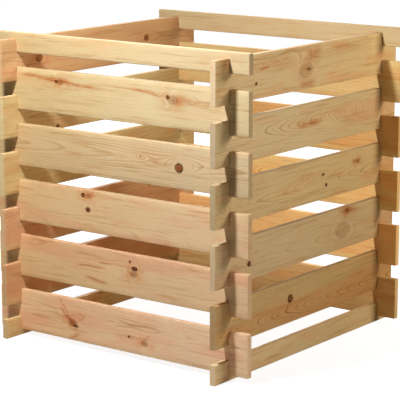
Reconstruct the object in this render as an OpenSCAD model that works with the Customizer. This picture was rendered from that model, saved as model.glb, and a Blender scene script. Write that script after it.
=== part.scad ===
// Wooden composter: an open square bin of notched boards, laid crosswise like a log cabin.
// A course is a pair of opposite boards. The courses lie in each other's notches, with nothing nailed.
// The lowest course is a pair of half boards on the left and right, and the top one closes front and back.
// Millimetres, +Z up. The origin is on the ground in the middle of the bin.

/* [Boards] */
// Length of every board
board_l = 900; // [600:10:1200]
// Width of a full board, which stands on edge
board_w = 122; // [100:1:180]
// Width of the half boards at the bottom of the sides and at the top of the front and back
half_board_w = 57; // [48:1:90]
// Thickness of every board
board_t = 18; // [12:1:30]
// Radius of the eased long edges
edge_r = 2; // [0.5:0.5:4]

/* [Notches] */
// Depth of each notch
notch_d = 20; // [10:1:22]
// Play on each side of a board that lies in a notch
notch_play = 1; // [0.5:0.5:3]
// How far the board ends stand out past the wall that they cross
end_l = 63; // [40:1:120]

/* [Walls] */
// Full boards in each of the four walls
wall_boards = 5; // [2:1:8]

/* [Hidden] */
// Two notches meet at a crossing, so the boards overlap by both depths
overlap = 2 * notch_d;
// Middle of a wall's thickness, measured from the middle of the bin
wall_pos = board_l / 2 - end_l - board_t / 2;
notch_w = board_t + 2 * notch_play;
// How far a cut runs past the face that it opens
over = 1;
curve_fn = 48;

// Pine tones from pale to reddish
PINE = [
    [0.90, 0.78, 0.58],
    [0.87, 0.72, 0.51],
    [0.84, 0.67, 0.48],
    [0.86, 0.70, 0.54],
    [0.82, 0.64, 0.45]
];

// Lower edge of a course: 0 is the pair of half boards on the ground
function course_z(course) = course == 0 ? 0 : half_board_w - overlap + (course - 1) * (board_w - overlap);
// Front and back boards lie in the odd courses, left and right ones in the even courses
function front_course(n) = 2 * n - 1;
function side_course(n) = 2 * n;
function pine(n) = PINE[n % len(PINE)];

// Cross-section of a board: its thickness along X and its width up Y from zero, with eased corners
module board_section(width) {
    translate([-board_t / 2 + edge_r, 0])
        square([board_t - 2 * edge_r, width]);
    translate([-board_t / 2, edge_r])
        square([board_t, width - 2 * edge_r]);
    for (x = [-board_t / 2 + edge_r, board_t / 2 - edge_r])
        for (y = [edge_r, width - edge_r])
            translate([x, y])
                circle(r = edge_r, $fn = curve_fn);
}

// The pair of notches near the ends of a board, cut from the height z to z + notch_d + over
module notch_pair(z) {
    for (x = [-wall_pos, wall_pos])
        translate([x - notch_w / 2, -board_t / 2 - over, z])
            cube([notch_w, board_t + 2 * over, notch_d + over]);
}

// A board on edge along X, standing on z = 0, with notches in the edges that meet another course
module board(width, notch_below, notch_above) {
    difference() {
        rotate([90, 0, 90])
            linear_extrude(height = board_l, center = true)
                board_section(width);
        if (notch_below)
            notch_pair(-over);
        if (notch_above)
            notch_pair(width - notch_d);
    }
}

module full_board() {
    board(board_w, true, true);
}

// A board's place in the front or back wall: way is -1 for the front and 1 for the back
module in_front_or_back(way, course) {
    translate([0, way * wall_pos, course_z(course)])
        children();
}

// A board's place in a side wall: way is -1 for the left and 1 for the right
module in_side(way, course) {
    translate([way * wall_pos, 0, course_z(course)])
        rotate([0, 0, 90])
            children();
}

module front_board(n) {
    color(pine(n))
        in_front_or_back(-1, front_course(n))
            full_board();
}

module back_board(n) {
    color(pine(n + 2))
        in_front_or_back(1, front_course(n))
            full_board();
}

module left_board(n) {
    color(pine(n + 3))
        in_side(-1, side_course(n))
            full_board();
}

module right_board(n) {
    color(pine(n + 1))
        in_side(1, side_course(n))
            full_board();
}

module left_bottom_half_board() {
    color(pine(3))
        in_side(-1, 0)
            board(half_board_w, false, true);
}

module right_bottom_half_board() {
    color(pine(1))
        in_side(1, 0)
            board(half_board_w, false, true);
}

module front_top_half_board() {
    color(pine(0))
        in_front_or_back(-1, front_course(wall_boards + 1))
            board(half_board_w, true, false);
}

module back_top_half_board() {
    color(pine(2))
        in_front_or_back(1, front_course(wall_boards + 1))
            board(half_board_w, true, false);
}

left_bottom_half_board();
right_bottom_half_board();
for (n = [1 : wall_boards]) {
    front_board(n);
    back_board(n);
    left_board(n);
    right_board(n);
}
front_top_half_board();
back_top_half_board();
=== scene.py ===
"""A compost bin of 24 plug-together pine boards, dressed for its photograph.

Every board is a planed softwood board swept along its length, with eased arrises, sawn notches and
square-sawn ends. Its wood is a solid pattern of growth rings round a pith, with knots that grow out
through it, so faces, edges and ends agree. All lengths are in metres, in the frame of the CAD model.
"""

import math

import bmesh
import bpy
import numpy as np
from mathutils import Matrix, Vector


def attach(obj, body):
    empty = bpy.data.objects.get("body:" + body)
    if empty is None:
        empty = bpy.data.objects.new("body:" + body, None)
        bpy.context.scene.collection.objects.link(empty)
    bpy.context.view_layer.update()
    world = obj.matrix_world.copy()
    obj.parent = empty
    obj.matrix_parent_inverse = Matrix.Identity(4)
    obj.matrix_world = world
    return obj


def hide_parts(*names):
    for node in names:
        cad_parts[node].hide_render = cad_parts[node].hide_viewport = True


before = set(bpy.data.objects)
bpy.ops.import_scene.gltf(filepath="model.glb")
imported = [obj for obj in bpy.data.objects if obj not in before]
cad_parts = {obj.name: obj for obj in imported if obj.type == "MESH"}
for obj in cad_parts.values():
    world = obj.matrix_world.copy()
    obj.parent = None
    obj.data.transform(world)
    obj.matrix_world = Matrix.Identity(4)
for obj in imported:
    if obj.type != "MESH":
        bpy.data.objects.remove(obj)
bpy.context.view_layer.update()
MM = 0.001
WHITE = (1.0, 1.0, 1.0)

# The boards' sizes, as in the CAD model.
LENGTH = 900 * MM
FULL = 122 * MM          # width of a full board
HALF = 57 * MM           # width of a half board
THICK = 18 * MM
EASE = 2 * MM            # rounding of the planed arrises
NOTCH_W = 20 * MM
NOTCH_D = 20 * MM
NOTCH_AT = 378 * MM      # from the middle of a board to the middle of each notch
PITCH = 164 * MM         # from one board of a wall to the next
SIDE_LIFT = 99 * MM      # lower edge of the lowest full side board
FRONT_LIFT = 17 * MM     # lower edge of the lowest full front board

# The finish of a board's mesh.
ARC_POINTS = 5           # on each rounded corner of the section
SIDE_POINTS = 9          # up each side of the section, before those at the notch bottoms
RING_STEP = 7 * MM       # between two rings along the board
END_PLAY = 1 * MM        # the most by which an end stops short of the full length
END_EASE = 0.5 * MM      # the last ring of an end stands in by this, over this length
WEAR = 0.5 * MM          # the most by which an arris wanders inwards
WEAR_WAVE = 110 * MM     # the longest wave of that wander
WEAR_WAVES = 9
WEAR_FADE = 4 * MM       # over which it fades out at a notch or an end
SAWN_BREAK = 0.4 * MM    # bevel of the sawn edges
SHARP = math.radians(32)
BREAK_ABOVE = math.radians(40)
TINY = 1e-6

# The camera, fitted to the boards' edges in the photo.
PHOTO = 400              # the picture's side in pixels
FOCAL = 1806.5           # focal length in those pixels
SENSOR = 36.0
YAW = 37.18              # degrees from +Y towards -X
PITCH_DOWN = 11.78
STAND = (3.1556, -4.1655, 1.4771)

# The lamps: place, point aimed at, side of the square, watts, colour.
LAMPS = {
    "key_softbox": ((0.08, -1.22, 1.85), (0.0, -0.3, 0.5), 0.15, 33.0, WHITE),
    "side_fill": ((2.3, 1.0, 1.6), (0.3, 0.0, 0.45), 1.1, 33.0, (1.0, 0.89, 0.73)),
    "back_fill": ((-2.7, 3.1, 1.8), (-0.2, 0.2, 0.45), 2.0, 110.0, (1.0, 0.94, 0.86)),
}
# How brightly two of them light the open floor at their feet, as a lit white.
POOLS = {"key_softbox": 0.64, "side_fill": 0.36}
AMBIENT = 0.005          # the surround's own light on the object
SHADE_SHARE = 0.3        # how much of the floor's own shading the camera sees
FLOOR_SEEN = (0.8, 0.8, 0.8, 1.0)        # the floor as the camera meets it
FLOOR_BOUNCE = (0.52, 0.47, 0.40, 1.0)   # the floor as the light on the object meets it
FLOOR_REACH = 40.0       # from its middle to each side

# Which way each wall's boards are turned, in degrees about Z.
TURN = {"front": 0.0, "right": 90.0, "back": 180.0, "left": 270.0}


def place(wall):
    """Turns a board's own frame, outer face towards -y, on to its wall of the bin."""
    return Matrix.Rotation(math.radians(TURN[wall]), 4, "Z") @ Matrix.Translation((0, -NOTCH_AT, 0))


def make_camera():
    """The photo's camera: it looks down and across at the near corner, with no lens shift."""
    data = bpy.data.cameras.new("camera")
    data.sensor_width = SENSOR
    data.lens = SENSOR * FOCAL / PHOTO
    data.clip_start, data.clip_end = 0.1, 100.0
    cam = bpy.data.objects.new("camera", data)
    bpy.context.scene.collection.objects.link(cam)
    y, p = math.radians(YAW), math.radians(PITCH_DOWN)
    ahead = Vector((-math.sin(y) * math.cos(p), math.cos(y) * math.cos(p), -math.sin(p)))
    cam.rotation_euler = ahead.to_track_quat("-Z", "Y").to_euler()
    cam.location = STAND
    bpy.context.scene.camera = cam


# One board as a mesh.

def section(low, high, levels):
    """The closed outline of a board's cross-section as (y, z) points and outward normals.

    A rectangle THICK by high - low whose corners are quarter circles of radius EASE. The upright
    sides carry a point at each of the given levels as well."""
    turn = np.linspace(0, math.pi / 2, ARC_POINTS)
    arc = np.stack([np.cos(turn), np.sin(turn)], 1)
    corners = [arc[::-1] * (1, -1), arc, arc[::-1] * (-1, 1), arc * (-1, -1)]
    y_in, z_low, z_high = THICK / 2 - EASE, low + EASE, high - EASE
    centres = [(y_in, z_low), (y_in, z_high), (-y_in, z_high), (-y_in, z_low)]
    side = np.concatenate([np.linspace(z_low, z_high, SIDE_POINTS), levels])
    side = np.unique(np.round(side, 6))
    side = side[(side > z_low + TINY) & (side < z_high - TINY)]
    edge = np.linspace(y_in, -y_in, 4)[1:-1]
    flats = [
        np.stack([np.full(len(side), THICK / 2), side], 1),
        np.stack([edge, np.full(len(edge), high)], 1),
        np.stack([np.full(len(side), -THICK / 2), side[::-1]], 1),
        np.stack([-edge, np.full(len(edge), low)], 1),
    ]
    ways = [(1.0, 0.0), (0.0, 1.0), (-1.0, 0.0), (0.0, -1.0)]
    points, normals = [], []
    for centre, corner, flat, way in zip(centres, corners, flats, ways):
        points += [np.array(centre) + EASE * corner, flat]
        normals += [corner, np.tile(way, (len(flat), 1))]
    return np.concatenate(points), np.concatenate(normals)


def waver(x, seed, longest, waves):
    """A gentle random line along x, from 0 to 1: sines of falling length and height, seeded."""
    rng = np.random.default_rng(seed)
    k = np.arange(1, waves + 1)
    phase = rng.uniform(0, 2 * math.pi, waves)
    wave = np.sin(2 * math.pi * x[:, None] * k / longest + phase) / k
    return 0.5 + 0.5 * wave.sum(1) / (1 / k).sum()


def board_mesh(name, low, high, notch_low, notch_high, seed):
    """A board lying along x with its outer face towards -y, as a mesh of rings along its length.

    Each ring is the section with its z held between the notch bottoms where a notch crosses, so
    the rings of a notch lie flat on its bottom. The arrises wander inwards by a little, as edges
    that were planed and handled do. The notch walls and the ends close as flat faces."""
    rng = np.random.default_rng(seed)
    floor_z = low + NOTCH_D if notch_low else low
    roof_z = high - NOTCH_D if notch_high else high
    ring, out = section(low, high, [z for z in (floor_z, roof_z) if low < z < high])
    arris = (np.abs(out) > 0.05).all(1)      # normals that are neither level nor upright
    count = len(ring)
    ends = np.array([-LENGTH / 2, LENGTH / 2]) + rng.uniform(0, 1.0, 2) * END_PLAY * [1, -1]
    near, far = NOTCH_AT - NOTCH_W / 2, NOTCH_AT + NOTCH_W / 2
    cuts = [ends[0], -far, -near, near, far, ends[1]]
    rows, faces, at = [], [], 0
    for part, (a, b) in enumerate(zip(cuts, cuts[1:])):
        steps = max(3, int(round((b - a) / RING_STEP)) + 1)
        x = np.linspace(a, b, steps)
        inset = np.zeros(steps)
        if part == 0:
            x = np.insert(x, 1, a + END_EASE)
            inset = np.insert(inset, 0, END_EASE)
        if part == 4:
            x = np.insert(x, -1, b - END_EASE)
            inset = np.append(inset, END_EASE)
        wear = WEAR * waver(x, seed + 7, WEAR_WAVE, WEAR_WAVES) ** 3
        fade = np.clip(np.minimum(x - a, b - x) / WEAR_FADE, 0, 1)
        worn = (wear * fade)[:, None] * arris + inset[:, None]
        y = ring[:, 0] - worn * out[:, 0]
        z = ring[:, 1] - worn * out[:, 1]
        if part in (1, 3):      # a notch
            z = np.clip(z, floor_z, roof_z)
        rows.append(np.stack([np.repeat(x[:, None], count, 1), y, z], 2).reshape(-1, 3))
        first = at + np.arange(len(x) - 1)[:, None] * count
        i = first + np.arange(count)
        j = first + (np.arange(count) + 1) % count
        faces.append(np.stack([i, j, j + count, i + count], 2).reshape(-1, 4))
        at += len(x) * count
    mesh = bpy.data.meshes.new(name)
    mesh.from_pydata(np.concatenate(rows), [], np.concatenate(faces))
    bm = bmesh.new()
    bm.from_mesh(mesh)
    bmesh.ops.remove_doubles(bm, verts=bm.verts, dist=TINY)
    bmesh.ops.holes_fill(bm, edges=[e for e in bm.edges if e.is_boundary], sides=0)
    bmesh.ops.recalc_face_normals(bm, faces=bm.faces)
    bm.to_mesh(mesh)
    bm.free()
    return mesh


# Helpers for node trees.

def put(tree, kind, **settings):
    """A node of the given kind with its settings made."""
    made = tree.nodes.new(kind)
    for key, value in settings.items():
        setattr(made, key, value)
    return made


def join(tree, value, socket):
    """Feeds a socket from another socket, or from a plain value."""
    if isinstance(value, bpy.types.NodeSocket):
        tree.links.new(value, socket)
    else:
        socket.default_value = value


def calc(tree, operation, *values, clamp=False):
    """A Math node."""
    made = put(tree, "ShaderNodeMath", operation=operation, use_clamp=clamp)
    for value, socket in zip(values, made.inputs):
        join(tree, value, socket)
    return made.outputs[0]


def product(tree, first, *others):
    """The product of some sockets or numbers."""
    for other in others:
        first = calc(tree, "MULTIPLY", first, other)
    return first


def total(tree, terms, start=0.0):
    """The sum of some sockets."""
    for term in terms:
        start = calc(tree, "ADD", term, start)
    return start


def about_half(tree, value, amount, start):
    """start plus amount times (value - 0.5), for a noise that is 0.5 on average."""
    return calc(tree, "MULTIPLY_ADD", calc(tree, "SUBTRACT", value, 0.5), amount, start)


def vec(tree, operation, *values):
    """A Vector Math node."""
    made = put(tree, "ShaderNodeVectorMath", operation=operation)
    for value, socket in zip(values, made.inputs):
        join(tree, value, socket)
    return made.outputs["Value" if operation in ("LENGTH", "DISTANCE") else "Vector"]


def parts(tree, vector):
    """The x, y and z of a vector."""
    made = put(tree, "ShaderNodeSeparateXYZ")
    join(tree, vector, made.inputs[0])
    return made.outputs


def noise(tree, at, scale, detail=2.0, rough=0.5, output="Fac"):
    """Noise read at a position that was already stretched, from 0 to 1."""
    made = put(tree, "ShaderNodeTexNoise")
    join(tree, at, made.inputs["Vector"])
    made.inputs["Scale"].default_value = scale
    made.inputs["Detail"].default_value = detail
    made.inputs["Roughness"].default_value = rough
    return made.outputs[output]


def drawn(tree, own, waves, shift=(0.0, 0.0, 0.0), detail=2.0, rough=0.5):
    """Noise drawn out along a board: waves are its repeats per metre along, through and up it."""
    return noise(tree, vec(tree, "ADD", vec(tree, "MULTIPLY", own, waves), shift), 1.0, detail, rough)


def ease(tree, value, low, high, to_low=0.0, to_high=1.0):
    """A smooth step from to_low at low to to_high at high."""
    made = put(tree, "ShaderNodeMapRange", interpolation_type="SMOOTHSTEP")
    keys = ("Value", "From Min", "From Max", "To Min", "To Max")
    for v, key in zip((value, low, high, to_low, to_high), keys):
        join(tree, v, made.inputs[key])
    return made.outputs["Result"]


def tint(tree, amount, a, b, way="MIX"):
    """A colour mix of a and b."""
    made = put(tree, "ShaderNodeMix", data_type="RGBA", blend_type=way)
    for value, socket in zip((amount, a, b), (made.inputs["Factor"], made.inputs[6], made.inputs[7])):
        join(tree, value, socket)
    return made.outputs[2]


def paint(red, green, blue):
    """An sRGB colour of 0 to 255 as the linear values that a socket takes."""
    c = np.array([red, green, blue]) / 255
    lin = np.where(c <= 0.04045, c / 12.92, ((c + 0.055) / 1.055) ** 2.4)
    return (*[float(v) for v in lin], 1.0)


# Pine: colours.

# Each slot's sapwood and heartwood.
TONES = {
    "pine_pale": (paint(238, 213, 163), paint(238, 196, 145)),
    "pine_yellow": (paint(235, 206, 149), paint(236, 187, 128)),
    "pine_reddish": (paint(239, 205, 157), paint(239, 188, 145)),
}
# What each of these leaves of the wood's colour.
LATE = paint(212, 184, 150)      # a late-wood line
STREAK = paint(226, 200, 172)    # a resin-rich fibre
RESIN = paint(226, 176, 146)     # a resin pocket
FLUSH = paint(238, 192, 160)     # the flushed wood round a knot
# Colours of their own.
ENDS = paint(224, 194, 150)      # sawn end grain
RUBBED = paint(224, 190, 146)    # eased arrises
HALO = paint(255, 250, 242)      # the pale ring round a knot
KNOT_DARK, KNOT_LIGHT = paint(96, 56, 30), paint(172, 112, 70)
KNOT_RING = paint(124, 68, 32)
BARK = paint(42, 20, 6)
# How much red, green and blue change along a wall's boards, from their left part to their right: painted
# light, which puts the lamps' fall-off and warmth along each wall into the wood.
PAINTED_LIGHT_DRIFT = {
    "front": (-0.01, -0.045, -0.12),
    "right": (0.07, 0.1, 0.17),
    "left": (-0.08, -0.08, -0.1),
    "back": (0.07, 0.07, 0.07),
}
PAINTED_LIGHT_DRIFT_REACH = 350 * MM           # from a board's middle to where that starts and ends

# Pine: how each pattern is drawn out, in repeats per metre along, through and up a board.
FINE = (12.0, 70.0, 70.0)            # small waves of the grain
PATCHES = (5.0, 20.0, 20.0)          # where the year lines fade
FIBRES = (14.0, 700.0, 700.0)
RESIN_FIBRES = (7.0, 170.0, 170.0)
CLOUDS = (3.5, 16.0, 16.0)           # of brightness
BLOTCHES = (6.0, 22.0, 22.0)         # of heartwood colour
SPECKS = (80.0, 330.0, 330.0)
STAIN_GRAIN = (30.0, 260.0, 260.0)
KERFS = (60.0, 60.0, 1400.0)         # saw marks on the sawn faces
SWAY_DRAW, SWAY_WAVES = (1.0, 0.5, 0.5), 3.2
RING_WAVES = 90.0                    # along the radius, of the rings' uneven widths
STREAK_WAVE = 38.0                   # radians per metre, of the bends of a resin streak
DRIFT = 40.0                         # the most by which a board's noise is moved

# Pine: how strongly each pattern shows.
FIBRE_LIGHT = 0.14       # in brightness
CLOUD_LIGHT = 0.16
SPECK_LIGHT = 0.22
END_TINT = 0.45          # in colour
RUBBED_TINT = 0.45
FINE_PUSH = 1.4 * MM     # how far the small waves move a growth ring
FINE_PUSH_STREAK = 12 * MM
STREAK_BEND = 1.2 * MM
HEART_CLOUD = 26 * MM    # how far the clouds move the edge of the heartwood
HEART_EDGE = (7, 19)     # mm outside its radius where the heartwood starts to fade and is gone
HEART_TAPER = 0.35       # how much of the rings' taper it follows
SWAY_UP = 1.3            # how much further the rings wander up a board than through it
UNEVEN = 1.3             # by how many rings their uneven widths move them
FACING = (0.6, 0.9)      # the normal's share where a face starts to count, and counts in full

# Pine: a year line's start and end within its ring.
LINE_STARTS, LINE_ENDS = (0.6, 0.93), (0.94, 1.0)

# Pine: the parts of a knot, by the distance from its middle in radii.
PIP_ENDS = (0.1, 0.3)
HEART_ENDS = (0.85, 1.1)
BARK_STARTS, BARK_ENDS = (0.6, 0.95), (1.0, 1.25)
HALO_STARTS, HALO_ENDS = (0.8, 1.2), (1.2, 1.8)
KNOT_YEAR = (0.4, 0.85)  # where its own year line starts within a ring, and is darkest

# Pine: surface.
IOR = 1.45
SHEEN = 0.06
ROUGHNESS = 0.5
FIBRE_ROUGH, SAWN_ROUGH, LINE_ROUGH = 0.16, 0.2, -0.08
LINE_RELIEF, FIBRE_RELIEF, KERF_RELIEF, KNOT_RELIEF = 0.5, 0.7, 1.5, -1.5
BUMP_STRENGTH = 0.35
BUMP_HEIGHT = 0.4 * MM


def board_frame(tree, wall, middle_z):
    """Object coordinates turned back into a board's own frame.

    x runs along it from its middle, y through its thickness with the outer face at -THICK / 2, and z
    up from the middle of its width."""
    back = place(wall).inverted()
    own = put(tree, "ShaderNodeMapping", vector_type="POINT")
    own.inputs["Rotation"].default_value = back.to_euler()
    own.inputs["Location"].default_value = back.translation - Vector((0, 0, middle_z))
    join(tree, put(tree, "ShaderNodeTexCoord").outputs["Object"], own.inputs["Vector"])
    return own.outputs["Vector"]


def knot(t, x, y, z, mark, drift):
    """One knot as a disc in the board's width that leans as it runs through the thickness.

    Gives its heart, its yearly rings, its bark and pip, its flush of colour, how far it pushes the
    board's growth rings, and its halo. With dx and dz measured from its middle, the rings swell by
    exp(-(dx / reach)^2 - (dz / rise)^2)."""
    kx, kz, radius, kind = mark
    dx = calc(t, "MULTIPLY_ADD", y, kind["lean"], calc(t, "SUBTRACT", x, kx))
    dz = calc(t, "SUBTRACT", z, kz)
    flat = put(t, "ShaderNodeCombineXYZ")
    join(t, calc(t, "DIVIDE", dx, kind["long"]), flat.inputs[0])
    join(t, dz, flat.inputs[2])
    flat = flat.outputs[0]
    rough = noise(t, vec(t, "ADD", flat, (drift, kx * 9, kz * 9)), 0.45 / radius, 3.0, 0.6)
    away = calc(t, "DIVIDE", vec(t, "LENGTH", flat), radius)
    away = about_half(t, rough, kind["ragged"], away)
    inside = ease(t, away, *HEART_ENDS, 1.0, 0.0)
    bark = product(t, ease(t, away, *BARK_STARTS), ease(t, away, *BARK_ENDS, 1.0, 0.0))
    bark = product(t, bark, ease(t, rough, 0.35, 0.6), kind["bark"])
    year = calc(t, "FRACT", calc(t, "MULTIPLY", away, kind["years"]))
    year = product(t, ease(t, year, *KNOT_YEAR), product(t, inside, kind["rings"]))
    dark = calc(t, "MAXIMUM", bark, ease(t, away, *PIP_ENDS, kind["pip"], 0.0))
    across = calc(t, "POWER", calc(t, "DIVIDE", dx, radius * kind["reach"] + 8 * MM), 2.0)
    upright = calc(t, "POWER", calc(t, "DIVIDE", dz, radius * kind["rise"] + 4 * MM), 2.0)
    swell = calc(t, "EXPONENT", calc(t, "MULTIPLY", calc(t, "ADD", across, upright), -1.0))
    flush = product(t, swell, ease(t, rough, 0.3, 0.65), kind["flush"])
    push = product(t, swell, radius * kind["push"] + 1.5 * MM)
    halo = product(t, ease(t, away, *HALO_STARTS), ease(t, away, *HALO_ENDS, kind["halo"], 0.0))
    return product(t, inside, kind["heart"]), year, dark, flush, push, halo


def resin_streak(t, x, z, mark, fine):
    """A long thin ragged mark along the grain, with slope as its rise per length.

    exp(-(along / half length)^4 - (across / half width)^2), with across moved by a slow sine wave
    and by the small waves of the grain."""
    sx, sz, long, wide, slope, strength = mark
    dx = calc(t, "SUBTRACT", x, sx)
    dz = calc(t, "MULTIPLY_ADD", dx, -slope, calc(t, "SUBTRACT", z, sz))
    bend = calc(t, "SINE", calc(t, "MULTIPLY", dx, STREAK_WAVE))
    dz = calc(t, "MULTIPLY_ADD", bend, STREAK_BEND, dz)
    dz = about_half(t, fine, FINE_PUSH_STREAK, dz)
    along = calc(t, "POWER", calc(t, "DIVIDE", dx, long), 4.0)
    across = calc(t, "POWER", calc(t, "DIVIDE", dz, wide), 2.0)
    shown = calc(t, "EXPONENT", calc(t, "MULTIPLY", calc(t, "ADD", along, across), -1.0))
    return calc(t, "MULTIPLY", shown, strength)


def growth_rings(t, own, x, fine, pushes, drift, look):
    """The distance from the pith, and the dark late-wood line of each growth ring.

    The distance, swayed, plus a taper along the board and less what each knot pushes, is counted in
    ring widths that vary. Each ring darkens slowly and ends sharply, some more than others."""
    sway = vec(t, "ADD", vec(t, "MULTIPLY", own, SWAY_DRAW), (drift, 0.0, 0.0))
    sway = noise(t, sway, SWAY_WAVES, 2.0, 0.5, "Color")
    sway = vec(t, "SUBTRACT", sway, (0.5, 0.5, 0.5))
    sway = vec(t, "MULTIPLY", sway, (0.0, look["sway"] * MM, look["sway"] * SWAY_UP * MM))
    pith = vec(t, "SUBTRACT", own, (0.0, look["pith"][0] * MM, look["pith"][1] * MM))
    pith = vec(t, "MULTIPLY", vec(t, "ADD", pith, sway), (0.0, 1.0, 1.0))
    out = vec(t, "LENGTH", pith)
    climb = calc(t, "MULTIPLY_ADD", x, look["bend"], look["taper"])
    radius = calc(t, "MULTIPLY_ADD", x, climb, out)
    radius = about_half(t, fine, FINE_PUSH, calc(t, "SUBTRACT", radius, total(t, pushes)))
    uneven = put(t, "ShaderNodeTexNoise", noise_dimensions="1D")
    join(t, calc(t, "MULTIPLY_ADD", radius, RING_WAVES, drift), uneven.inputs["W"])
    uneven.inputs["Scale"].default_value = 1.0
    uneven = calc(t, "MULTIPLY", uneven.outputs["Fac"], UNEVEN)
    years = calc(t, "MULTIPLY_ADD", radius, 1.0 / (look["ring"] * MM), uneven)
    year = calc(t, "FRACT", years)
    line = product(t, ease(t, year, *LINE_STARTS), ease(t, year, *LINE_ENDS, 1.0, 0.0))
    lot = put(t, "ShaderNodeTexWhiteNoise", noise_dimensions="1D")
    join(t, calc(t, "FLOOR", years), lot.inputs["W"])
    lot = calc(t, "POWER", lot.outputs["Value"], 1.5)
    lot = calc(t, "MULTIPLY_ADD", lot, 1.1 - look["even"], 0.25 + look["even"] / 2)
    patchy = drawn(t, own, PATCHES, (drift, 9.0, 0.0), 1.0)
    line = product(t, line, lot, ease(t, patchy, 0.25, 0.65, 0.35, 1.0), look["contrast"])
    return out, line


def sound_wood(t, own, x, out, line, cloud, drift, tone, look):
    """The colour of the plain wood: sapwood, heartwood, year lines and resin-rich fibres.

    Heartwood lies inside a set distance from the pith, with a ragged edge and blotches."""
    sap, heart = TONES[tone]
    reach = calc(t, "MULTIPLY_ADD", x, HEART_TAPER * look["taper"], out)
    reach = calc(t, "MULTIPLY_ADD", cloud, HEART_CLOUD, reach)
    fades, gone = ((look["heart"] + edge) * MM for edge in HEART_EDGE)
    core = ease(t, reach, fades, gone, look["blush"], 0.0)
    blotch = drawn(t, own, BLOTCHES, (drift, 2.0, 7.0), 3.0, 0.55)
    blotch = ease(t, blotch, 0.38, 0.68, -0.4 * look["mottle"], 0.5 * look["mottle"])
    colour = tint(t, calc(t, "ADD", core, blotch, clamp=True), sap, heart)
    colour = tint(t, line, colour, LATE, "MULTIPLY")
    streak = drawn(t, own, RESIN_FIBRES, (drift, 0.0, 3.0), 3.0)
    return tint(t, ease(t, streak, 0.53, 0.72, 0.0, 0.55), colour, STREAK, "MULTIPLY")


def brightness(t, own, x, fibre, cloud, sawn, planed, wall, look):
    """A colour to multiply the wood by: its fibres, clouds and specks, the board's brightness and
    warmth, which are partly its own tone and partly painted light and shade, a painted drift of light
    along its wall, its sawn faces, and painted shade on its upper and lower edge faces."""
    light = calc(t, "MULTIPLY_ADD", fibre, FIBRE_LIGHT, 1.0 - FIBRE_LIGHT / 2)
    light = calc(t, "ADD", light, calc(t, "MULTIPLY_ADD", cloud, CLOUD_LIGHT, -CLOUD_LIGHT / 2))
    light = about_half(t, drawn(t, own, SPECKS, rough=0.6), SPECK_LIGHT, light)
    light = product(t, light, calc(t, "MULTIPLY_ADD", sawn, look["ends"] - 1.0, 1.0))
    # Painted shade on the upper and lower edge faces.
    light = product(t, light, calc(t, "MULTIPLY_ADD", planed, look["edges"] - 1.0, 1.0))
    # The board's light, warm and rose: partly its own tone, partly painted light and shade.
    shade = put(t, "ShaderNodeCombineColor")
    shares = (1.0 + 0.03 * look["warm"], 1.0 - 0.06 * look["rose"], 1.0 - 0.13 * look["warm"])
    # Painted light: the board's level drifts from one end to the other by the wall's painted drift of
    # light and warmth.
    for socket, share, turn in zip(shade.inputs, shares, PAINTED_LIGHT_DRIFT[wall]):
        level = look["light"] * share
        painted_drift = ease(t, x, -PAINTED_LIGHT_DRIFT_REACH, PAINTED_LIGHT_DRIFT_REACH, level * (1 + turn), level * (1 - turn))
        join(t, product(t, light, painted_drift), socket)
    return shade.outputs[0]


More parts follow.
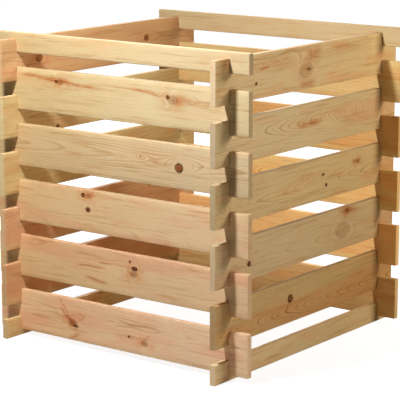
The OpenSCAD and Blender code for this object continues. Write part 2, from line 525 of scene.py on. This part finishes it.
def pine(name, tone, wall, low, high, look):
    """The wood of one board, as one solid pattern in the board's own frame.

    Growth rings lie round the pith and swell round each knot. Fibres are noise drawn out along the
    board. Knots, resin and flushed wood lie over them, and sawn faces show end grain."""
    mat = bpy.data.materials.new(name)
    mat.use_nodes = True
    t = mat.node_tree
    shader = t.nodes["Principled BSDF"]
    drift = float(np.random.default_rng(look["seed"]).uniform(-DRIFT, DRIFT))
    middle = (high - low) / 2
    own = board_frame(t, wall, low + middle)
    x, y, z = parts(t, own)
    facing = parts(t, put(t, "ShaderNodeTexCoord").outputs["Normal"])
    sawn = calc(t, "ABSOLUTE", facing["X" if wall in ("front", "back") else "Y"])
    sawn = ease(t, sawn, *FACING)
    # The upper and lower edge faces, for the painted shade on them.
    planed = ease(t, calc(t, "ABSOLUTE", facing["Z"]), *FACING)

    fine = drawn(t, own, FINE)
    fibre = drawn(t, own, FIBRES)
    cloud = drawn(t, own, CLOUDS, (drift, 5.0, 0.0))
    knots = [
        knot(t, x, y, z, (kx * MM, kz * MM - middle, radius * MM, kind), drift)
        for kx, kz, radius, kind in look["knots"]
    ]
    hearts, rings, darks, flushes, pushes, halos = zip(*knots) if knots else [()] * 6
    stains = [
        resin_streak(t, x, z, (sx * MM, sz * MM - middle, long * MM, wide * MM, slope, strength), fine)
        for sx, sz, long, wide, slope, strength in look["streaks"]
    ]
    out, line = growth_rings(t, own, x, fine, pushes, drift, look)

    colour = sound_wood(t, own, x, out, line, cloud, drift, tone, look)
    colour = tint(t, calc(t, "MULTIPLY", sawn, END_TINT), colour, ENDS)
    # The board's brightness holds painted light and shade as well as its own tone.
    shade = brightness(t, own, x, fibre, cloud, sawn, planed, wall, look)
    colour = tint(t, 1.0, colour, shade, "MULTIPLY")
    if knots:
        colour = tint(t, total(t, flushes), colour, FLUSH, "MULTIPLY")
    if stains:
        grain = ease(t, drawn(t, own, STAIN_GRAIN, detail=3.0, rough=0.6), 0.3, 0.55, 0.25, 1.15)
        stained = calc(t, "MULTIPLY", total(t, stains), grain, clamp=True)
        colour = tint(t, stained, colour, RESIN, "MULTIPLY")
    if knots:
        wood = tint(t, calc(t, "MULTIPLY_ADD", fine, 0.9, 0.1), KNOT_DARK, KNOT_LIGHT)
        dark = total(t, darks)
        colour = tint(t, total(t, halos), colour, HALO, "SCREEN")
        colour = tint(t, total(t, hearts), colour, wood)
        colour = tint(t, total(t, rings), colour, KNOT_RING)
        colour = tint(t, dark, colour, BARK)

    # Eased arrises are rubbed to one tone.
    edge_z = ease(t, calc(t, "ABSOLUTE", z), middle - 2 * EASE, middle - EASE / 4)
    edge_y = ease(t, calc(t, "ABSOLUTE", y), THICK / 2 - 2 * EASE, THICK / 2 - EASE / 4)
    colour = tint(t, product(t, edge_z, edge_y, RUBBED_TINT), colour, RUBBED)
    join(t, colour, shader.inputs["Base Color"])

    rough = calc(t, "MULTIPLY_ADD", fibre, FIBRE_ROUGH, ROUGHNESS)
    rough = calc(t, "MULTIPLY_ADD", sawn, SAWN_ROUGH, rough)
    rough = calc(t, "MULTIPLY_ADD", line, LINE_ROUGH, rough)
    join(t, rough, shader.inputs["Roughness"])
    shader.inputs["IOR"].default_value = IOR
    shader.inputs["Specular IOR Level"].default_value = SHEEN

    relief = calc(t, "MULTIPLY_ADD", fibre, FIBRE_RELIEF, calc(t, "MULTIPLY", line, LINE_RELIEF))
    relief = calc(t, "MULTIPLY_ADD", product(t, drawn(t, own, KERFS), sawn), KERF_RELIEF, relief)
    if knots:
        relief = calc(t, "MULTIPLY_ADD", dark, KNOT_RELIEF, relief)
    bump = put(t, "ShaderNodeBump")
    bump.inputs["Strength"].default_value = BUMP_STRENGTH
    bump.inputs["Distance"].default_value = BUMP_HEIGHT
    join(t, relief, bump.inputs["Height"])
    join(t, bump.outputs["Normal"], shader.inputs["Normal"])
    return mat


# Kinds of knot. heart: how much of the knot's own brown shows. bark, rings, pip: its dark outline,
# yearly rings and middle. years: how many rings. halo, flush: the pale ring and the colour round it.
# push, reach, rise: how far the grain swells. long: its length by its width. ragged: how uneven its
# outline is. lean: how far it moves along the board per length of thickness.
KNOT = {
    "heart": 0.8, "bark": 0.9, "rings": 0.4, "years": 3.0, "pip": 0.5, "flush": 0.5, "push": 0.7,
    "reach": 2.6, "rise": 1.6, "long": 1.1, "ragged": 0.7, "lean": -0.35, "halo": 0.0,
}
DEAD = {
    **KNOT, "heart": 1.0, "bark": 1.15, "rings": 0.7, "years": 2.5, "pip": 0.4, "flush": 0.3,
    "ragged": 0.55,
}
SOUND = {
    **KNOT, "heart": 0.4, "bark": 0.12, "pip": 0.2, "flush": 1.1, "reach": 3.0, "rise": 1.9,
    "ragged": 1.2, "long": 1.4,
}
PIN = {
    **KNOT, "heart": 1.0, "bark": 1.5, "rings": 1.0, "pip": 1.6, "flush": 0.3, "push": 0.8,
    "reach": 3.0, "rise": 1.5,
}
BURL = {
    **KNOT, "heart": 0.08, "bark": 0.1, "rings": 0.38, "years": 4.2, "pip": 0.0, "flush": 0.5,
    "push": 1.0, "reach": 2.2, "rise": 1.4, "long": 1.6, "ragged": 1.3, "halo": 0.07,
}

# What every board has unless LOOKS says otherwise.
# pith: where the rings' middle lies, through the board and up from the middle of its width (mm).
# ring: the width of a ring (mm). contrast, even: how dark the year lines are, and how alike.
# taper, bend: how fast the rings run out along the board, and how much faster towards one end.
# sway: how far they wander (mm). heart, blush, mottle: the radius of the heartwood (mm), how much of
# its colour shows, and in what blotches. light, warm, rose: the board's brightness and colour, which are
# partly its own tone and partly painted light and shade: the lower front boards are made lighter where
# the key light falls off, the left wall's boards darker, and the back wall's boards warmer for their
# warm shade.
# ends, edges: the brightness of its sawn faces, and painted shade on its upper and lower edge faces,
# which takes back part of the key light that falls on the top edges.
PLAIN = {
    "knots": [], "streaks": [], "pith": (50, 25), "ring": 2.8, "contrast": 0.55, "taper": 0.02,
    "bend": 0.0, "sway": 12, "heart": 45, "blush": 0.6, "light": 1.0, "warm": 0.0, "rose": 0.0,
    "ends": 1.0, "edges": 1.0, "even": 0.0, "mottle": 1.0,
}
# Knots: along the board, up from its lower edge, radius (all mm), kind.
# Streaks: along, up, half length, half width (mm), slope, strength.
LOOKS = {
    "front_top_half_board": {
        "pith": (60, 60), "ring": 2.6, "contrast": 0.3, "taper": 0.02, "heart": 0, "light": 0.76,
        "rose": 0.2,
    },
    "front_board_5": {
        "knots": [
            (184, 83, 5.5, PIN), (203, 76, 12, {**SOUND, "heart": 0.25, "rings": 0.6}),
            (-216, 92, 4.5, PIN), (-200, 91, 8, {**SOUND, "heart": 0.25, "rings": 0.6}),
        ],
        "streaks": [
            (-272, 99, 82, 6.0, -0.04, 1.1), (-135, 89, 80, 5.5, -0.05, 1.0),
            (112, 91, 66, 5.0, -0.07, 1.0), (280, 74, 80, 10, -0.07, 0.55),
            (-160, 112, 40, 2.5, -0.03, 0.4), (0, 95, 50, 3, -0.02, 0.35),
        ],
        "pith": (70, 20), "ring": 2.4, "contrast": 0.35, "taper": 0.012, "heart": 0, "light": 0.81,
        "edges": 0.6,
    },
    "front_board_4": {
        "knots": [
            (221, 58, 12.5, DEAD), (88, 75, 3, {**PIN, "heart": 0.4, "bark": 0.3, "pip": 0.3}),
        ],
        "streaks": [(165, 62, 34, 8, 0.02, 0.45), (110, 56, 40, 4, 0.0, 0.35)],
        "pith": (62, 8), "ring": 2.5, "contrast": 0.9, "taper": 0.016, "sway": 4, "heart": 64,
        "blush": 0.75, "even": 0.4, "light": 0.83, "rose": 0.6, "edges": 0.88,
    },
    "front_board_3": {
        "knots": [(-122, 105, 6, PIN), (-104, 65, 7, PIN), (-100, 104, 7, SOUND)],
        "streaks": [(-60, 112, 60, 8, -0.02, 0.35)],
        "pith": (80, -50), "ring": 2.4, "contrast": 0.4, "heart": 90, "blush": 0.6, "light": 0.95,
        "warm": -0.1, "mottle": 1.3, "edges": 0.68,
    },
    "front_board_2": {
        "knots": [(64, 82, 6, {**PIN, "long": 1.6}), (60, 66, 9, SOUND), (48, 100, 3.5, PIN)],
        "streaks": [
            (-98, 66, 46, 3.2, 0.06, 1.3), (-46, 82, 22, 2.6, 0.0, 1.2),
            (-80, 28, 40, 4.0, -0.05, 1.0), (190, 20, 60, 3, 0.0, 0.5),
        ],
        "pith": (40, 46), "ring": 2.6, "contrast": 0.45, "heart": 60, "blush": 1.0, "light": 1,
        "warm": -0.1, "rose": 0.2, "edges": 0.85,
    },
    "front_board_1": {
        "knots": [
            (-156, 44, 3.5, {**PIN, "long": 2.6}), (42, 47, 3.5, PIN), (98, 36, 8, SOUND),
            (-168, 52, 11, SOUND),
        ],
        "streaks": [
            (-189, 66, 26, 5.0, -0.9, 1.1), (-190, 80, 30, 4.5, -1.2, 0.8),
            (-178, 60, 30, 3.5, -0.5, 0.7), (-166, 12, 20, 5, 0.5, 0.8),
            (100, 52, 16, 4, 0.8, 0.5), (40, 90, 120, 14, -0.05, 0.25),
        ],
        "pith": (32, 20), "ring": 2.8, "contrast": 0.45, "heart": 90, "blush": 0.6, "light": 1.18,
        "warm": -1.0, "rose": -0.1, "edges": 0.85,
    },
    "right_board_5": {
        "knots": [
            (-264, 42, 4.5, PIN), (-29, 52, 22, BURL),
            (-12, 55, 5, {**PIN, "heart": 0.5, "bark": 0.3, "pip": 0.3, "long": 2.0}),
        ],
        "streaks": [
            (4, 92, 42, 24, 0.25, 0.7), (-20, 12, 34, 14, 0.0, 0.7),
            (-190, 88, 110, 20, 0.0, 0.4), (180, 96, 120, 14, 0.0, 0.3),
            (-150, 96, 30, 3, 0.1, 0.6), (-230, 80, 24, 3, 0.1, 0.6),
        ],
        "pith": (70, 58), "ring": 2.4, "contrast": 0.7, "taper": 0.012, "heart": 76, "blush": 0.9,
        "edges": 0.75, "light": 1.12, "mottle": 1.6, "warm": -1.0, "ends": 0.78,
    },
    "right_board_4": {
        "streaks": [(-14, 64, 56, 9, 0.05, 0.75), (20, 66, 40, 6, 0.05, 0.4)],
        "pith": (26, 10), "ring": 2.7, "contrast": 0.85, "taper": -0.1, "bend": -0.11, "sway": 12,
        "heart": 34, "blush": 1.0, "edges": 0.75, "light": 0.99, "warm": -0.4, "ends": 0.7,
    },
    "right_board_3": {
        "knots": [(68, 72, 3.5, {**PIN, "long": 2.0}), (84, 40, 5, PIN), (250, 84, 6, SOUND)],
        "streaks": [(240, 86, 24, 5, 0.1, 0.8)],
        "pith": (40, -10), "ring": 2.3, "contrast": 0.6, "taper": -0.05, "sway": 18, "heart": 42,
        "blush": 1.0, "mottle": 1.4, "edges": 0.75, "light": 0.96, "warm": -0.6, "ends": 0.7,
    },
    "right_board_2": {
        "knots": [
            (198, 112, 5, {**PIN, "long": 0.7}), (198, 112, 10, SOUND), (171, 57, 22, BURL),
            (-292, 45, 7, PIN),
        ],
        "streaks": [(205, 110, 40, 7, 0.0, 0.7)],
        "pith": (34, -10), "ring": 2.5, "contrast": 0.6, "taper": -0.03, "sway": 14, "heart": 40,
        "blush": 1.0, "edges": 0.75, "light": 0.86, "warm": -0.2, "rose": 0.4,
    },
    "right_board_1": {
        "knots": [(-92, 70, 11, DEAD)],
        "pith": (24, -26), "ring": 2.6, "contrast": 0.9, "taper": -0.06, "sway": 14, "heart": 46,
        "blush": 1.0, "edges": 0.75, "light": 0.79, "warm": 0.6, "rose": 0.6, "ends": 0.8,
    },
    "right_bottom_half_board": {
        "pith": (50, -30), "contrast": 0.4, "heart": 30, "blush": 0.5, "light": 1.12, "warm": -1.3,
    },
    "left_board_5": {
        "knots": [
            (-208, 68, 10, {**DEAD, "bark": 0.5, "rings": 0.3}),
            (288, 57, 13, {**DEAD, "bark": 0.4, "flush": 0.9, "ragged": 0.9}),
        ],
        "pith": (-50, 10), "heart": 120, "blush": 0.7, "light": 0.77, "warm": 0.8, "mottle": 0.6,
    },
    "left_board_4": {
        "knots": [(212, 8, 6, DEAD)],
        "pith": (-40, -10), "heart": 30, "light": 0.93, "warm": -0.6, "rose": -0.8,
    },
    "left_board_3": {"light": 0.96, "warm": -0.6, "rose": -0.8},
    "left_board_2": {"heart": 80, "blush": 1.0, "light": 0.94, "warm": 0.3},
    "left_board_1": {"heart": 80, "blush": 1.0, "light": 0.85, "warm": 1.0, "rose": 0.8},
    "back_board_5": {"light": 0.92, "warm": 0.7},
    "back_board_4": {"heart": 80, "blush": 1.0, "warm": 1.1, "light": 0.88},
    "back_board_3": {
        "pith": (-24, 6), "contrast": 0.9, "taper": 0.1, "light": 1.1, "warm": 1.3, "rose": 0.2,
    },
    "back_board_2": {"heart": 80, "blush": 1.0, "warm": 0.8, "light": 1.2},
    "back_board_1": {"warm": 1.0, "light": 1.03, "rose": 0.6},
    "back_top_half_board": {"light": 0.84, "contrast": 0.45, "pith": (-50, 40)},
}


def build_board(name, wall, number, course, tone, low, high, notch_low=True, notch_high=True):
    """One board in the place of its CAD node: mesh, wood, broken sawn edges, and what it rides on.

    number is its place in the wall, from the ground up, and seeds its grain."""
    seed = 100 * number + list(TURN).index(wall)
    look = {"seed": seed, **PLAIN, **LOOKS.get(name, {})}
    mesh = board_mesh(name + "_wood", low, high, notch_low, notch_high, seed)
    mesh.transform(place(wall))
    mesh.materials.append(pine(name + "_pine", tone, wall, low, high, look))
    mesh.shade_smooth()
    mesh.set_sharp_from_angle(angle=SHARP)
    piece = bpy.data.objects.new(name + "_wood", mesh)
    bpy.context.scene.collection.objects.link(piece)
    bevel = piece.modifiers.new("sawn edges", "BEVEL")
    bevel.width = SAWN_BREAK
    bevel.segments = 2
    bevel.limit_method = "ANGLE"
    bevel.angle_limit = BREAK_ABOVE
    bevel.harden_normals = True
    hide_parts(name)
    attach(piece, f"course_{course}")


def build_walls():
    """Five full boards in each wall, a half board under each side wall and one on the other two."""
    for number in range(1, 6):
        up = (number - 1) * PITCH
        for wall, tone in (
            ("front", "pine_pale" if number > 3 else "pine_reddish"),
            ("back", "pine_yellow"),
            ("left", "pine_yellow" if number in (3, 4) else "pine_reddish"),
            ("right", "pine_yellow" if number % 2 else "pine_pale"),
        ):
            side = wall in ("left", "right")
            low = (SIDE_LIFT if side else FRONT_LIFT) + up
            build_board(f"{wall}_board_{number}", wall, number, 2 * number + side, tone, low, low + FULL)
    for wall in ("left", "right"):
        build_board(f"{wall}_bottom_half_board", wall, 6, 1, "pine_yellow", 0.0, HALF, notch_low=False)
    top = FRONT_LIFT + 5 * PITCH
    for wall in ("front", "back"):
        name = f"{wall}_top_half_board"
        build_board(name, wall, 6, 12, "pine_pale", top, top + HALF, notch_high=False)


# The studio.

def area_lamp(name, at, aim, size, watts, colour):
    """A square lamp at one point, aimed at another, that the camera doesn't see."""
    data = bpy.data.lights.new(name, "AREA")
    data.shape = "SQUARE"
    data.size = size
    data.energy = watts
    data.color = colour
    lamp = bpy.data.objects.new(name, data)
    lamp.location = at
    lamp.rotation_euler = (Vector(aim) - Vector(at)).to_track_quat("-Z", "Y").to_euler()
    lamp.visible_camera = False
    bpy.context.scene.collection.objects.link(lamp)


def seen_by_camera(tree):
    """1 for camera, mirror and glass rays, and 0 for the light that falls on the object."""
    ray = put(tree, "ShaderNodeLightPath")
    seen = calc(tree, "MAXIMUM", ray.outputs["Is Camera Ray"], ray.outputs["Is Glossy Ray"])
    return calc(tree, "MAXIMUM", seen, ray.outputs["Is Transmission Ray"])


def pool(tree, where, lamp, level):
    """How brightly a lamp lights the open floor: level / (1 + (distance from its foot / height)^2)^2."""
    away = vec(tree, "DISTANCE", where, (lamp[0], lamp[1], 0.0))
    spread = calc(tree, "MULTIPLY_ADD", calc(tree, "POWER", away, 2.0), lamp[2] ** -2, 1.0)
    return calc(tree, "DIVIDE", level, calc(tree, "POWER", spread, 2.0))


def make_floor():
    """A pale floor that the camera sees as paper white less what the object's shade takes away.

    The camera gets a share of the floor's own lit colour, plus white to make up what the open floor
    lacks of 1."""
    mat = bpy.data.materials.new("pale_floor")
    mat.use_nodes = True
    t = mat.node_tree
    shader = t.nodes["Principled BSDF"]
    shader.inputs["Roughness"].default_value = 0.9
    seen = seen_by_camera(t)
    join(t, tint(t, seen, FLOOR_BOUNCE, FLOOR_SEEN), shader.inputs["Base Color"])
    where = put(t, "ShaderNodeTexCoord").outputs["Object"]
    lit = total(t, [pool(t, where, LAMPS[name][0], level) for name, level in POOLS.items()])
    lacks = calc(t, "MULTIPLY_ADD", lit, -SHADE_SHARE, 1.0)
    white = put(t, "ShaderNodeEmission")
    white.inputs["Color"].default_value = (*WHITE, 1.0)
    join(t, calc(t, "DIVIDE", lacks, 1.0 - SHADE_SHARE), white.inputs["Strength"])
    mixed = put(t, "ShaderNodeMixShader")
    join(t, calc(t, "MULTIPLY", seen, 1.0 - SHADE_SHARE), mixed.inputs[0])
    t.links.new(shader.outputs[0], mixed.inputs[1])
    t.links.new(white.outputs[0], mixed.inputs[2])
    t.links.new(mixed.outputs[0], t.nodes["Material Output"].inputs["Surface"])
    r = FLOOR_REACH
    mesh = bpy.data.meshes.new("floor")
    mesh.from_pydata([(-r, -r, 0), (r, -r, 0), (r, r, 0), (-r, r, 0)], [], [(0, 1, 2, 3)])
    mesh.materials.append(mat)
    floor = bpy.data.objects.new("floor", mesh)
    bpy.context.scene.collection.objects.link(floor)


def make_studio():
    """The floor, a white surround that gives the object almost no light, and the lamps."""
    make_floor()
    world = bpy.data.worlds.new("studio")
    bpy.context.scene.world = world
    world.use_nodes = True
    t = world.node_tree
    ground = t.nodes["Background"]
    ground.inputs["Color"].default_value = (*WHITE, 1.0)
    strength = calc(t, "MULTIPLY_ADD", seen_by_camera(t), 1.0 - AMBIENT, AMBIENT)
    join(t, strength, ground.inputs["Strength"])
    for name, lamp in LAMPS.items():
        area_lamp(name, *lamp)
    bpy.context.scene.view_settings.view_transform = "Standard"


make_camera()
build_walls()
make_studio()
